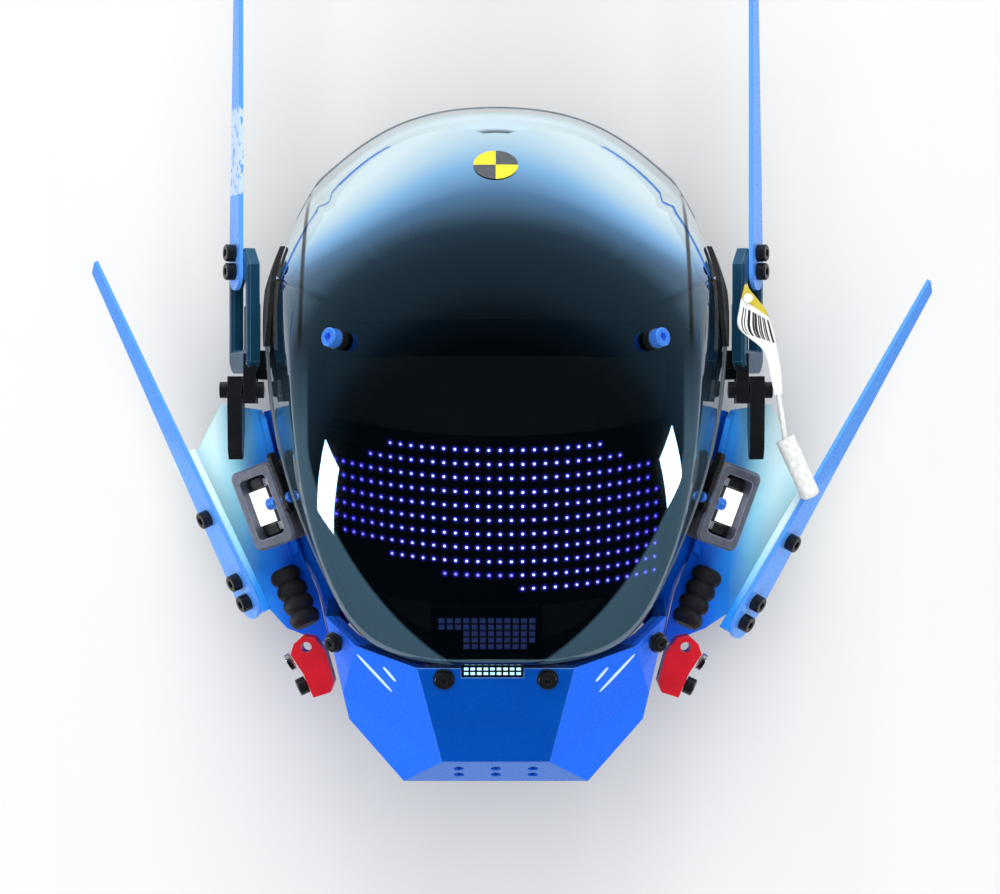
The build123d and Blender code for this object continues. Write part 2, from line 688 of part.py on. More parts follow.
parts["cheek_shell_right"] = make_cheek(FIN_BASE_RIGHT, FIN_TIP_RIGHT, 1)
parts["cheek_shell_left"] = make_cheek(FIN_BASE_LEFT, FIN_TIP_LEFT, -1)
parts["fin_right"] = make_fin(FIN_BASE_RIGHT, FIN_TIP_RIGHT, 1)
parts["fin_left"] = make_fin(FIN_BASE_LEFT, FIN_TIP_LEFT, -1)
parts["fin_screws"] = group(*[fin_screw(FIN_BASE_RIGHT, FIN_TIP_RIGHT, 1, h) for h in FIN_HOLES],
                            *[fin_screw(FIN_BASE_LEFT, FIN_TIP_LEFT, -1, h) for h in FIN_HOLES])

both("light_housing", make_light_housing())
both("light_core", make_light_core())
both("light_panel", make_light_panel())
both("light_arm", make_light_arm())
both("light_pivot", make_light_pivot())

both("side_ring", make_side_ring())
both("ring_plate", make_ring_plate())
both("hinge_block", make_hinge_block())
both("lever", make_lever())
both("lever_pin", make_lever_pin())
both("temple_pad", make_temple_pad())
both("antenna", make_antenna())
ear_screws = [antenna_screw(9), antenna_screw(18)]
parts["antenna_screws"] = group(*ear_screws, *[mirrored(s) for s in ear_screws])

both("bracket", make_bracket())
side_screw = socket_screw(bracket_side() * Pos(0, 0, 0.4), head_h=4.6, shank_l=9)
parts["bracket_screws"] = group(side_screw, mirrored(side_screw))
ring = make_bracket_ring()
parts["bracket_rings"] = group(ring, mirrored(ring))
both("conduit", make_conduit())

parts["tag_pin"] = make_tag_pin()
parts["tag_label"] = make_tag_label()
parts["tag_strap"] = make_tag_strap()
parts["tag_barrel"] = make_tag_barrel()

# Every fastener cuts its own seat, and brackets are cut to what they stand against.
SEATS = [
    ("visor_lens", "visor_screws"), ("brow_hoop", "visor_spacers"), ("chin_guard", "chin_screws"),
    ("cheek_shell_right", "fin_screws"), ("cheek_shell_left", "fin_screws"),
    ("side_ring_right", "antenna_screws"), ("side_ring_left", "antenna_screws"),
    ("tag_strap", "tag_barrel"), ("strap_anchors", "inner_frame"), ("tag_pin", "side_ring_right"),
]
for side in ("_right", "_left"):
    SEATS += [("hinge_block" + side, "side_ring" + side), ("hinge_block" + side, "ring_plate" + side),
              ("hinge_block" + side, "inner_frame"), ("light_arm" + side, "inner_frame"),
              ("light_arm" + side, "light_pivot" + side)]
for host, guest in SEATS:
    cut = parts[host] - parts[guest]
    parts[host] = cut

os.makedirs("parts", exist_ok=True)
for name, shape in parts.items():
    export_step(shape, f"parts/{name}.step")
    print(name, round(shape.volume, 1), len(shape.solids()))
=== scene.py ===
import math

import bmesh
import bpy
import numpy
from mathutils import Matrix, Vector
from mathutils.bvhtree import BVHTree


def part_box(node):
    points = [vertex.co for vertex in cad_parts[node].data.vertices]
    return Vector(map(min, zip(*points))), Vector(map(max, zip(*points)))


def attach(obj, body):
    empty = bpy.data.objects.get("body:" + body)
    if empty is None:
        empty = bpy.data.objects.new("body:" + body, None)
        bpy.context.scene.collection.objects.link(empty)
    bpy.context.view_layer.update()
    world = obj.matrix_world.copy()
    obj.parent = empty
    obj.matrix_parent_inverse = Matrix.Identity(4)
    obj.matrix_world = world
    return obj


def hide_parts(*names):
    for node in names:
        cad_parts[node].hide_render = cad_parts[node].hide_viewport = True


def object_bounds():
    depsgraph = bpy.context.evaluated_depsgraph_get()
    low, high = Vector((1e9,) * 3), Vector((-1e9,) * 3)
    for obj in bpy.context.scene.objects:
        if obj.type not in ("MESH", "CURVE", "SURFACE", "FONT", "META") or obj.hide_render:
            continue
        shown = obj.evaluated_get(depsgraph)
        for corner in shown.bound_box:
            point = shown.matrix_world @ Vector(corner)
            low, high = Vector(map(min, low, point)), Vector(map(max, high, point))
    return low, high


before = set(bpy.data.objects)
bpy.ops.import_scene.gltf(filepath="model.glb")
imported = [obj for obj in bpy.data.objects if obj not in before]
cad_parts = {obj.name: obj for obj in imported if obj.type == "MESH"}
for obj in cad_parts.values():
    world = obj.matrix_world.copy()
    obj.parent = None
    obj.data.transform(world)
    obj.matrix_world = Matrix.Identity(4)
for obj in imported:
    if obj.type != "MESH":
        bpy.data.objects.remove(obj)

# Looks of the illuminated full-face visor mask. Metres, in the CAD's own frame:
# +Z out of the face, +Y towards the forehead, +X to the right from in front.
CAD_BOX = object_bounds()
MM = 0.001
SIDES = (("right", 1), ("left", -1))

# ---------------------------------------------------------------- driving values
# Visor outline at its rim and 78 mm higher, right half from brow to chin, in mm.
VISOR_RIM = [(0, 163), (46, 155), (80, 132), (102, 106), (110, 72), (108.5, 28),
             (104, -4), (94, -36), (80, -66), (64, -88), (36, -97), (0, -98)]
VISOR_BROW = [(0, 148), (40, 141), (66, 120), (82, 95), (88, 66), (89, 28),
              (87, -4), (82, -36), (73, -64), (59, -86), (34, -96.5), (0, -97.5)]
RIM_Z = 72.0
BROW_Z = 150.0
RIM_TURN_Y = 20.0
RIM_SLOPE = 40 / 118
DOME_CENTRE = (0.0, 20.0, 60.0)
DOME_AXES = (116.0, 160.0, 127.0)
VISOR_WALL = 3.0
CREASE_ROUND = 4.0        # length of the soft bend on each side of the crease

# The visor's coat: where a painted reflection of the bright brow turns it silver, the painted shade of its
# crease down each temple, and the painted table reflection on its jaw walls, in mm.
PAINTED_REFLECTION_FROM = 45.0
PAINTED_REFLECTION_TO = 165.0
PAINTED_REFLECTION_WIDENING = 120.0   # how much further down the painted silver reflection reaches at the sides, per square metre of X
# Painted shade of the lens crease: place, width and reach of the dark line down each temple, in mm.
CREASE_SHADE_X = 88.0
CREASE_SHADE_WIDTH = (0.6, 1.5)
CREASE_SHADE_MIDDLE = 82.0
CREASE_SHADE_REACH = (30.0, 42.0)
JAW_REFLECTION_ZONE = (84.0, 105.0)  # half width and depth of the squarish curve that the jaw walls start at
JAW_REFLECTION_POWER = 1.5
JAW_REFLECTION_FADE = (5.0, 45.0)    # heights between which the painted table reflection on the jaw walls ends

# Rear frame outline, right half, and the cushion inside it.
FRAME_OUT = [(0, 146), (58, 134), (92, 102), (101, 66), (101, 20), (95, -20),
             (84, -55), (68, -84), (44, -106), (0, -114)]
CUSHION_INSET = (4.8, 16.5)
CUSHION_CHANNELS = 26     # sewn channels round the cushion
CUSHION_MIDDLE_Y = 30.0
CUSHION_SECTION = 16      # points round the cushion's section
CUSHION_SQUARENESS = 0.6  # 1 is a round section, 0 a square one

# Light matrix: curved carrier and which columns are lit in each row.
LED_RADIUS = 125.0
LED_TILT = math.radians(20)
LED_FRONT = Vector((2.0, -33.0, 140.0))
LED_ROW_PITCH = 6.7
LED_COLUMN_TURN = math.radians(2.32)
LED_LIT = [(-10, 9), (-12, 11), (-17, 14), (-17, 14), (-16, 15), (-16, 15),
           (-16, 15), (-15, 15), (-10, 15), (-5, 15), (2, 15)]

LED_HALO_RADIUS = 2.3

MOUTH_CENTRE = Vector((-4.0, -82.0, 137.0))
MOUTH_NORMAL = Vector((0.0, -0.55, 0.835)).normalized()
MOUTH_PITCH = 3.7
MOUTH_ROWS = [(0, 12), (0, 12), (3, 12), (3, 12), (3, 11)]
MOUTH_MIDDLE_COLUMN = 5.5
MOUTH_MIDDLE_ROW = 1.5
MOUTH_TILE = 2.7
SLOT_COLUMNS = 9

# Jaw lamp and ear plate: place and lean of their faces.
LAMP_CENTRE = (112.5, -29, 73)
LAMP_TURN = math.radians(20)
LAMP_TILT = math.radians(33)
EAR_LEAN = math.radians(65)

BLADE_BLUE = (0.13, 0.4, 1.0)
TABLE_HALF_WIDTH = 0.225  # the mirrored part of the table top, metres
HORIZON_SLANT = 0.6       # how much the sky's glow drops towards overhead


# ---------------------------------------------------------------- material helpers
def new_tree(name):
    mat = bpy.data.materials.new(name)
    mat.use_nodes = True
    return mat, mat.node_tree, mat.node_tree.nodes["Principled BSDF"]


def node(tree, kind, **inputs):
    made = tree.nodes.new(kind)
    for name, value in inputs.items():
        made.inputs[name.replace("_", " ")].default_value = value
    return made


def object_point(tree, stretch=(1, 1, 1), move=(0, 0, 0)):
    """The piece's own coordinates, moved and stretched."""
    coords = tree.nodes.new("ShaderNodeTexCoord")
    mapping = node(tree, "ShaderNodeMapping", Scale=stretch, Location=move)
    tree.links.new(coords.outputs["Object"], mapping.inputs["Vector"])
    return mapping.outputs["Vector"]


def noise(tree, scale, detail=4.0, stretch=(1, 1, 1)):
    made = node(tree, "ShaderNodeTexNoise", Scale=scale, Detail=detail)
    tree.links.new(object_point(tree, stretch), made.inputs["Vector"])
    return made.outputs[0]


def ramp(tree, factor, stops):
    """Colour ramp from (position, colour) stops."""
    made = tree.nodes.new("ShaderNodeValToRGB")
    table = made.color_ramp.elements
    while len(table) < len(stops):
        table.new(0.5)
    for element, (place, colour) in zip(table, stops):
        element.position = place
        element.color = (*colour, 1)
    tree.links.new(factor, made.inputs["Fac"])
    return made.outputs["Color"]


def math_node(tree, operation, first, second=None):
    made = tree.nodes.new("ShaderNodeMath")
    made.operation = operation
    for socket, value in zip(made.inputs, (first, second)):
        if value is None:
            continue
        if isinstance(value, (int, float)):
            socket.default_value = value
        else:
            tree.links.new(value, socket)
    return made.outputs[0]


def mix(tree, factor, first, second):
    """Colour mix; each side is a socket or a plain colour."""
    made = tree.nodes.new("ShaderNodeMix")
    made.data_type = "RGBA"
    tree.links.new(factor, made.inputs[0])
    for socket, value in ((made.inputs[6], first), (made.inputs[7], second)):
        if isinstance(value, tuple):
            socket.default_value = (*value, 1)
        else:
            tree.links.new(value, socket)
    return made.outputs[2]


def soft_edges(tree, radius):
    """Normal with rounded edges, and a mask that is bright along those edges."""
    bevel = tree.nodes.new("ShaderNodeBevel")
    bevel.samples = 6
    bevel.inputs["Radius"].default_value = radius
    geometry = tree.nodes.new("ShaderNodeNewGeometry")
    dot = tree.nodes.new("ShaderNodeVectorMath")
    dot.operation = "DOT_PRODUCT"
    tree.links.new(bevel.outputs["Normal"], dot.inputs[0])
    tree.links.new(geometry.outputs["Normal"], dot.inputs[1])
    turned = math_node(tree, "SUBTRACT", 1.0, dot.outputs["Value"])
    return bevel.outputs["Normal"], math_node(tree, "MULTIPLY", turned, 6.0)


def scaled(colour, amount):
    return tuple(min(1.0, c * amount) for c in colour)


def finish(name, colour, rough, metallic=0.0, coat=0.0, spread=0.18, patch=60.0, grain=900.0,
           grain_depth=0.05, edge=0.5, edge_colour=None, edge_amount=0.5, stretch=(1, 1, 1),
           tint=(1, 1, 1)):
    """A worked surface: colour patches, fine grain, uneven gloss and edges mixed towards edge_colour, partly
    wear and partly painted edge light.
    """
    mat, tree, shader = new_tree(name)
    shader.inputs["Metallic"].default_value = metallic
    shader.inputs["Coat Weight"].default_value = coat
    shader.inputs["Coat Roughness"].default_value = 0.04
    shader.inputs["Coat Tint"].default_value = (*tint, 1)
    shader.inputs["Specular Tint"].default_value = (*tint, 1)
    patches = noise(tree, patch, 5.0, stretch)
    body = ramp(tree, patches, [(0.3, scaled(colour, 1 - spread)), (0.7, scaled(colour, 1 + spread))])
    normal, rim = soft_edges(tree, edge * MM)
    # Painted edge light, partly wear: edges are mixed towards edge_colour.
    wear_and_painted_edge_light = math_node(tree, "MULTIPLY", rim, edge_amount)
    wear_and_painted_edge_light = math_node(tree, "MULTIPLY", wear_and_painted_edge_light, noise(tree, patch * 4, 3.0))
    tree.links.new(mix(tree, wear_and_painted_edge_light, body, edge_colour or scaled(colour, 2.5)), shader.inputs["Base Color"])
    speckle = noise(tree, grain, 3.0, stretch)
    low, high = rough * 0.8, min(1.0, rough * 1.25)
    gloss = ramp(tree, speckle, [(0.3, (low,) * 3), (0.7, (high,) * 3)])
    tree.links.new(gloss, shader.inputs["Roughness"])
    bump = node(tree, "ShaderNodeBump", Strength=grain_depth, Distance=0.1 * MM)
    tree.links.new(speckle, bump.inputs["Height"])
    tree.links.new(normal, bump.inputs["Normal"])
    tree.links.new(bump.outputs["Normal"], shader.inputs["Normal"])
    return mat


def paint(node_names, mat):
    """Gives CAD nodes a material."""
    for name in node_names:
        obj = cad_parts[name]
        if not obj.material_slots:
            obj.data.materials.append(mat)
        for slot in obj.material_slots:
            slot.material = mat


def both(*names):
    return [f"{name}_{side}" for name in names for side, _ in SIDES]


# ---------------------------------------------------------------- material recipes
def split_point(tree):
    """Node whose X, Y and Z are the piece's own coordinates."""
    split = tree.nodes.new("ShaderNodeSeparateXYZ")
    tree.links.new(object_point(tree), split.inputs["Vector"])
    return split


def between(tree, value, start, end):
    """Share that climbs from 0 at the start to 1 at the end."""
    made = node(tree, "ShaderNodeMapRange", From_Min=start, From_Max=end)
    tree.links.new(value, made.inputs["Value"])
    return made.outputs["Result"]


def painted_jaw_reflection(tree, split):
    """Mask of the painted table reflection on the visor's jaw walls: 1 outside a squarish curve, fading out
    towards the temples.
    """
    sideways = math_node(tree, "ABSOLUTE", split.outputs["X"])
    across = math_node(tree, "DIVIDE", sideways, JAW_REFLECTION_ZONE[0] * MM)
    forward = math_node(tree, "MAXIMUM", math_node(tree, "MULTIPLY", split.outputs["Y"], -1.0), 0.0)
    down = math_node(tree, "DIVIDE", forward, JAW_REFLECTION_ZONE[1] * MM)
    bent = [math_node(tree, "POWER", share, JAW_REFLECTION_POWER) for share in (across, down)]
    outside = between(tree, math_node(tree, "ADD", *bent), 0.985, 1.01)
    fade = between(tree, split.outputs["Y"], JAW_REFLECTION_FADE[1] * MM, JAW_REFLECTION_FADE[0] * MM)
    return math_node(tree, "MULTIPLY", outside, fade)


def painted_crease_shade(tree, split):
    """Mask of the painted crease shade, a narrow dark line down each temple."""
    sideways = math_node(tree, "ABSOLUTE", split.outputs["X"])
    off_line = math_node(tree, "ABSOLUTE", math_node(tree, "SUBTRACT", sideways, CREASE_SHADE_X * MM))
    line = between(tree, off_line, CREASE_SHADE_WIDTH[1] * MM, CREASE_SHADE_WIDTH[0] * MM)
    above_middle = math_node(tree, "SUBTRACT", split.outputs["Y"], CREASE_SHADE_MIDDLE * MM)
    from_middle = math_node(tree, "ABSOLUTE", above_middle)
    fade = between(tree, from_middle, CREASE_SHADE_REACH[1] * MM, CREASE_SHADE_REACH[0] * MM)
    return math_node(tree, "MULTIPLY", line, fade)


def visor_coat_painted_reflection():
    """Smoked lens with a blue mirror coat. A painted reflection turns it silver at the brow and upper sides,
    a painted dark line shades each crease and a painted table reflection makes the jaw walls satin slate.
    """
    mat, tree, shader = new_tree("visor_coat_painted_reflection")
    shader.inputs["Alpha"].default_value = 0.86
    split = split_point(tree)
    # Painted reflection: the coat's colour climbs from dark blue to silver towards the brow and the upper
    # sides.
    height = between(tree, split.outputs["Y"], PAINTED_REFLECTION_FROM * MM, PAINTED_REFLECTION_TO * MM)
    sideways = math_node(tree, "MULTIPLY", split.outputs["X"], split.outputs["X"])
    widened = math_node(tree, "ADD", math_node(tree, "MULTIPLY", sideways, PAINTED_REFLECTION_WIDENING), 1.0)
    cloud = math_node(tree, "MULTIPLY", noise(tree, 9.0, 2.0), 0.04)
    place = math_node(tree, "ADD", math_node(tree, "MULTIPLY", height, widened), cloud)
    tint = ramp(tree, place, [(0.0, (0.05, 0.11, 0.17)), (0.35, (0.06, 0.12, 0.18)),
                              (0.5, (0.075, 0.15, 0.25)), (0.58, (0.1, 0.22, 0.4)),
                              (0.69, (0.24, 0.5, 0.82)), (0.78, (0.5, 0.72, 0.88)),
                              (0.9, (0.72, 0.88, 0.95))])
    # Painted shade: a dark line along the crease down each temple.
    with_crease_shade = mix(tree, painted_crease_shade(tree, split), tint, (0.004, 0.01, 0.015))
    # Painted table reflection: the jaw walls take a slate colour and lose most of their metal.
    zone = painted_jaw_reflection(tree, split)
    tree.links.new(mix(tree, zone, with_crease_shade, (0.06, 0.125, 0.18)), shader.inputs["Base Color"])
    mirrored = math_node(tree, "SUBTRACT", 1.0, math_node(tree, "MULTIPLY", zone, 0.75))
    tree.links.new(mirrored, shader.inputs["Metallic"])
    wiped = ramp(tree, noise(tree, 40.0, 6.0, (1, 0.2, 1)), [(0.35, (0.015,) * 3), (0.8, (0.05,) * 3)])
    tree.links.new(wiped, shader.inputs["Roughness"])
    return mat


def visor_inside():
    """Uncoated dark inner face of the lens."""
    mat, tree, shader = new_tree("visor_inside")
    shader.inputs["Alpha"].default_value = 0.35
    shader.inputs["Roughness"].default_value = 0.12
    shade = ramp(tree, noise(tree, 30.0), [(0.3, (0.002, 0.003, 0.005)), (0.7, (0.006, 0.008, 0.012))])
    tree.links.new(shade, shader.inputs["Base Color"])
    return mat


def quartered_film(low, high):
    """Yellow and dark grey quarters about the disc's middle."""
    mat, tree, shader = new_tree("quartered_film")
    middle = (low + high) / 2
    split = tree.nodes.new("ShaderNodeSeparateXYZ")
    tree.links.new(object_point(tree, move=tuple(-middle)), split.inputs["Vector"])
    product = math_node(tree, "MULTIPLY", split.outputs["X"], split.outputs["Y"])
    dark = math_node(tree, "GREATER_THAN", product, 0.0)
    wear_and_painted_edge_light = noise(tree, 700.0, 3.0)
    yellow = ramp(tree, wear_and_painted_edge_light, [(0.3, (0.7, 0.56, 0.004)), (0.7, (0.82, 0.68, 0.01))])
    grey = ramp(tree, wear_and_painted_edge_light, [(0.3, (0.045, 0.055, 0.07)), (0.7, (0.075, 0.085, 0.1))])
    tree.links.new(mix(tree, dark, yellow, grey), shader.inputs["Base Color"])
    shader.inputs["Roughness"].default_value = 0.35
    return mat


def lacquer_painted_sheen(name, side, inner_x, outer_x):
    """Blue lacquer with a painted sheen: it fades to pale cyan towards the outside of the jaw."""
    mat, tree, shader = new_tree(name)
    reach = between(tree, split_point(tree).outputs["X"], side * inner_x, side * outer_x)
    cloud = math_node(tree, "MULTIPLY", noise(tree, 25.0), 0.12)
    along = math_node(tree, "ADD", reach, cloud)
    # Painted sheen: the colour pales towards the outside of the jaw.
    fade = ramp(tree, along, [(0.12, (0.0, 0.12, 0.85)), (0.4, (0.03, 0.33, 0.97)),
                              (0.6, (0.35, 0.8, 0.99)), (0.82, (0.72, 0.96, 1.0))])
    tree.links.new(fade, shader.inputs["Base Color"])
    shader.inputs["Roughness"].default_value = 0.3
    shader.inputs["Coat Weight"].default_value = 0.6
    normal, _ = soft_edges(tree, 0.6 * MM)
    bump = node(tree, "ShaderNodeBump", Strength=0.04, Distance=0.1 * MM)
    tree.links.new(noise(tree, 700.0), bump.inputs["Height"])
    tree.links.new(normal, bump.inputs["Normal"])
    tree.links.new(bump.outputs["Normal"], shader.inputs["Normal"])
    return mat


def facet_lacquer_painted_light():
    """Deep blue lacquer with painted light by facet: facets that face sideways are painted bright blue and
    the vent facet paler, as if lit more.
    """
    mat = finish("facet_lacquer_painted_light", (0.0, 0.078, 0.4), 0.24, coat=0.35, spread=0.06, tint=(0.1, 0.45, 1.0),
                 grain_depth=0.03, edge=0.9, edge_colour=(0.35, 0.65, 1.0), edge_amount=1.4)
    tree = mat.node_tree
    shader = tree.nodes["Principled BSDF"]
    body = shader.inputs["Base Color"].links[0].from_socket
    geometry = tree.nodes.new("ShaderNodeNewGeometry")
    split = tree.nodes.new("ShaderNodeSeparateXYZ")
    tree.links.new(geometry.outputs["True Normal"], split.inputs["Vector"])
    # Painted light: sideways facets are brighter blue and the forward vent facet is paler.
    sideways = math_node(tree, "GREATER_THAN", math_node(tree, "ABSOLUTE", split.outputs["X"]), 0.25)
    forward = math_node(tree, "LESS_THAN", split.outputs["Y"], -0.7)
    painted_side_light = mix(tree, sideways, body, (0.03, 0.2, 0.98))
    tree.links.new(mix(tree, forward, painted_side_light, (0.012, 0.17, 0.6)), shader.inputs["Base Color"])
    return mat


def blade_lacquer(name):
    """Light blue lacquer with deep blue edges."""
    return finish(name, BLADE_BLUE, 0.3, coat=0.3, spread=0.04, patch=20.0, tint=(0.3, 0.6, 1.0),
                  grain_depth=0.02, edge=0.35, edge_colour=(0.0, 0.07, 0.8), edge_amount=1.2)


def banded_blade(name, start_y, end_y):
    """Blue lacquer with a plain whitish band across the blade."""
    mat = blade_lacquer(name)
    tree = mat.node_tree
    shader = tree.nodes["Principled BSDF"]
    body = shader.inputs["Base Color"].links[0].from_socket
    split = split_point(tree)
    above = math_node(tree, "GREATER_THAN", split.outputs["Y"], start_y)
    below = math_node(tree, "LESS_THAN", split.outputs["Y"], end_y)
    speckled = math_node(tree, "GREATER_THAN", noise(tree, 420.0, 2.0, (1, 0.5, 1)), 0.42)
    inside = math_node(tree, "MULTIPLY", math_node(tree, "MULTIPLY", above, below), speckled)
    tree.links.new(mix(tree, inside, body, (0.72, 0.8, 0.9)), shader.inputs["Base Color"])
    return mat


def glow(name, colour, strength, spread=0.25, patch=500.0):
    """Lit surface with slightly uneven brightness."""
    mat, tree, shader = new_tree(name)
    shader.inputs["Base Color"].default_value = (*scaled(colour, 0.4), 1)
    uneven = ramp(tree, noise(tree, patch, 2.0),
                  [(0.3, scaled(colour, 1 - spread)), (0.7, colour)])
    tree.links.new(uneven, shader.inputs["Emission Color"])
    shader.inputs["Emission Strength"].default_value = strength
    shader.inputs["Roughness"].default_value = 0.4
    return mat


def led_core(strength):
    """Light point: white-blue in the middle columns, violet-blue at the sides."""
    mat, tree, shader = new_tree("led_core")
    shader.inputs["Base Color"].default_value = (0.2, 0.3, 0.8, 1)
    level = tree.nodes.new("ShaderNodeAttribute")
    level.attribute_name = "level"
    shade = ramp(tree, level.outputs["Fac"], [(0.0, (0.03, 0.03, 0.6)), (0.45, (0.12, 0.13, 1.0)),
                                              (1.0, (0.45, 0.62, 1.0))])
    tree.links.new(shade, shader.inputs["Emission Color"])
    shader.inputs["Emission Strength"].default_value = strength
    return mat


def led_halo(strength):
    """Round violet glow that dies away from each light point."""
    mat, tree, shader = new_tree("led_halo")
    coords = tree.nodes.new("ShaderNodeTexCoord")
    mapping = node(tree, "ShaderNodeMapping", Scale=(2, 2, 2), Location=(-1, -1, 0))
    tree.links.new(coords.outputs["UV"], mapping.inputs["Vector"])
    round_fade = tree.nodes.new("ShaderNodeTexGradient")
    round_fade.gradient_type = "SPHERICAL"
    tree.links.new(mapping.outputs["Vector"], round_fade.inputs["Vector"])
    falloff = math_node(tree, "POWER", round_fade.outputs["Fac"], 2.2)
    tree.links.new(falloff, shader.inputs["Alpha"])
    shader.inputs["Base Color"].default_value = (0, 0, 0, 1)
    shader.inputs["Roughness"].default_value = 1.0
    shader.inputs["Specular IOR Level"].default_value = 0.0
    shader.inputs["Emission Color"].default_value = (0.05, 0.03, 0.8, 1)
    shader.inputs["Emission Strength"].default_value = strength
    return mat


def printed_label():
    """White film with a yellow head band and plain black bars; the pattern means nothing."""
    mat, tree, shader = new_tree("printed_label")
    coords = tree.nodes.new("ShaderNodeTexCoord")
    split = tree.nodes.new("ShaderNodeSeparateXYZ")
    tree.links.new(coords.outputs["UV"], split.inputs["Vector"])
    across, along = split.outputs["X"], split.outputs["Y"]
    stripes = tree.nodes.new("ShaderNodeTexNoise")
    stripes.noise_dimensions = "1D"
    stripes.inputs["Scale"].default_value = 15.0
    stripes.inputs["Detail"].default_value = 0.0
    tree.links.new(across, stripes.inputs["W"])
    bars = math_node(tree, "GREATER_THAN", stripes.outputs[0], 0.47)
    for value, operation, limit in ((along, "GREATER_THAN", 0.56), (along, "LESS_THAN", 0.82),
                                    (across, "GREATER_THAN", 0.1), (across, "LESS_THAN", 0.93)):
        bars = math_node(tree, "MULTIPLY", bars, math_node(tree, operation, value, limit))
    head = math_node(tree, "GREATER_THAN", along, 0.87)
    film = ramp(tree, noise(tree, 300.0), [(0.3, (0.86, 0.88, 0.87)), (0.7, (0.95, 0.96, 0.95))])
    barred = mix(tree, bars, film, (0.02, 0.02, 0.025))
    tree.links.new(mix(tree, head, barred, (0.62, 0.5, 0.05)), shader.inputs["Base Color"])
    shader.inputs["Roughness"].default_value = 0.4
    return mat


def knit_cover():
    """Fine knitted fabric over foam."""
    mat, tree, shader = new_tree("knit_cover")
    wave = node(tree, "ShaderNodeTexWave", Scale=420.0, Distortion=1.5)
    tree.links.new(object_point(tree), wave.inputs["Vector"])
    shade = ramp(tree, wave.outputs[1], [(0.2, (0.012, 0.013, 0.016)), (0.8, (0.035, 0.037, 0.042))])
    tree.links.new(shade, shader.inputs["Base Color"])
    shader.inputs["Roughness"].default_value = 0.9
    shader.inputs["Sheen Weight"].default_value = 0.4
    bump = node(tree, "ShaderNodeBump", Strength=0.5, Distance=0.4 * MM)
    tree.links.new(wave.outputs[1], bump.inputs["Height"])
    tree.links.new(bump.outputs["Normal"], shader.inputs["Normal"])
    return mat


# ---------------------------------------------------------------- mesh helpers
def make_object(name, bm, mats, body, smooth=True):
    mesh = bpy.data.meshes.new(name)
    bmesh.ops.recalc_face_normals(bm, faces=bm.faces)
    bm.to_mesh(mesh)
    bm.free()
    for mat in mats:
        mesh.materials.append(mat)
    for polygon in mesh.polygons:
        polygon.use_smooth = smooth
    obj = bpy.data.objects.new(name, mesh)
    bpy.context.scene.collection.objects.link(obj)
    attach(obj, body)
    return obj


def bridge(bm, lower, upper, closed=True):
    """Quads between two rows of vertices."""
    count = len(lower)
    for i in range(count if closed else count - 1):
        j = (i + 1) % count
        bm.faces.new((lower[i], lower[j], upper[j], upper[i]))


def closed_spline(points, per_span):
    """Samples of the smooth closed curve through the points."""
    pts = numpy.array(points, dtype=float)
    count = len(pts)
    step = numpy.linalg.norm(numpy.roll(pts, -1, axis=0) - pts, axis=1)
    slope = (numpy.roll(pts, -1, axis=0) - pts) / step[:, None]
    matrix = numpy.zeros((count, count))
    for i in range(count):
        matrix[i, i - 1] = step[i - 1]
        matrix[i, i] = 2 * (step[i - 1] + step[i])
        matrix[i, (i + 1) % count] = step[i]
    bend = numpy.linalg.solve(matrix, 6 * (slope - numpy.roll(slope, 1, axis=0)))
    samples = []
    for i in range(count):
        j = (i + 1) % count
        for k in range(per_span):
            b = k / per_span
            a = 1 - b
            curve = (a ** 3 - a) * bend[i] + (b ** 3 - b) * bend[j]
            samples.append(a * pts[i] + b * pts[j] + curve * step[i] ** 2 / 6)
    return samples


def mirrored_outline(half):
    return half + [(-x, y) for x, y in reversed(half[1:-1])]


def turned_ring(bm, place, radius, height, segments=24):
    """Circle of vertices about the place's Z."""
    ring = []
    for k in range(segments):
        turn = 2 * math.pi * k / segments
        spot = Vector((radius * math.cos(turn), radius * math.sin(turn), height))
        ring.append(bm.verts.new(place @ spot))
    return ring


def lathe(bm, place, profile, segments=24):
    """Turned solid about the place's Z from (radius, height) pairs; both ends are closed."""
    rings = [turned_ring(bm, place, r, h, segments) for r, h in profile]
    for lower, upper in zip(rings, rings[1:]):
        bridge(bm, lower, upper)
    bm.faces.new(rings[0])
    bm.faces.new(rings[-1])


def placing(origin, normal):
    """Matrix that puts Z along the normal at the origin."""
    turn = Vector((0, 0, 1)).rotation_difference(Vector(normal)).to_matrix().to_4x4()
    return Matrix.Translation(origin) @ turn


def side_point(side, x, y, z):
    return Vector((side * x, y, z)) * MM


# ---------------------------------------------------------------- visor
def wall_point(low, high, z):
    share = (z - RIM_Z) / (BROW_Z - RIM_Z)
    return Vector((*(low + (high - low) * share), z))


def outside_dome(point):
    return sum(((p - c) / a) ** 2 for p, c, a in zip(point, DOME_CENTRE, DOME_AXES)) - 1


def crease_height(low, high):
    """Height where the leaning wall meets the dome."""
    inside, outside = RIM_Z, 195.0
    for _ in range(40):
        z = (inside + outside) / 2
        if outside_dome(wall_point(low, high, z)) < 0:
            inside = z
        else:
            outside = z
    return inside


def rim_height(low, high):
    z = RIM_Z
    for _ in range(6):
        z = RIM_Z + max(0.0, RIM_TURN_Y - wall_point(low, high, z).y) * RIM_SLOPE
    return z


def dome_point(crease, share):
    """Point on the dome between the apex (0) and the crease (1)."""
    x = crease.x * share
    y = DOME_CENTRE[1] + (crease.y - DOME_CENTRE[1]) * share
    flat = (x / DOME_AXES[0]) ** 2 + ((y - DOME_CENTRE[1]) / DOME_AXES[1]) ** 2
    return Vector((x, y, DOME_CENTRE[2] + DOME_AXES[2] * math.sqrt(1 - flat)))


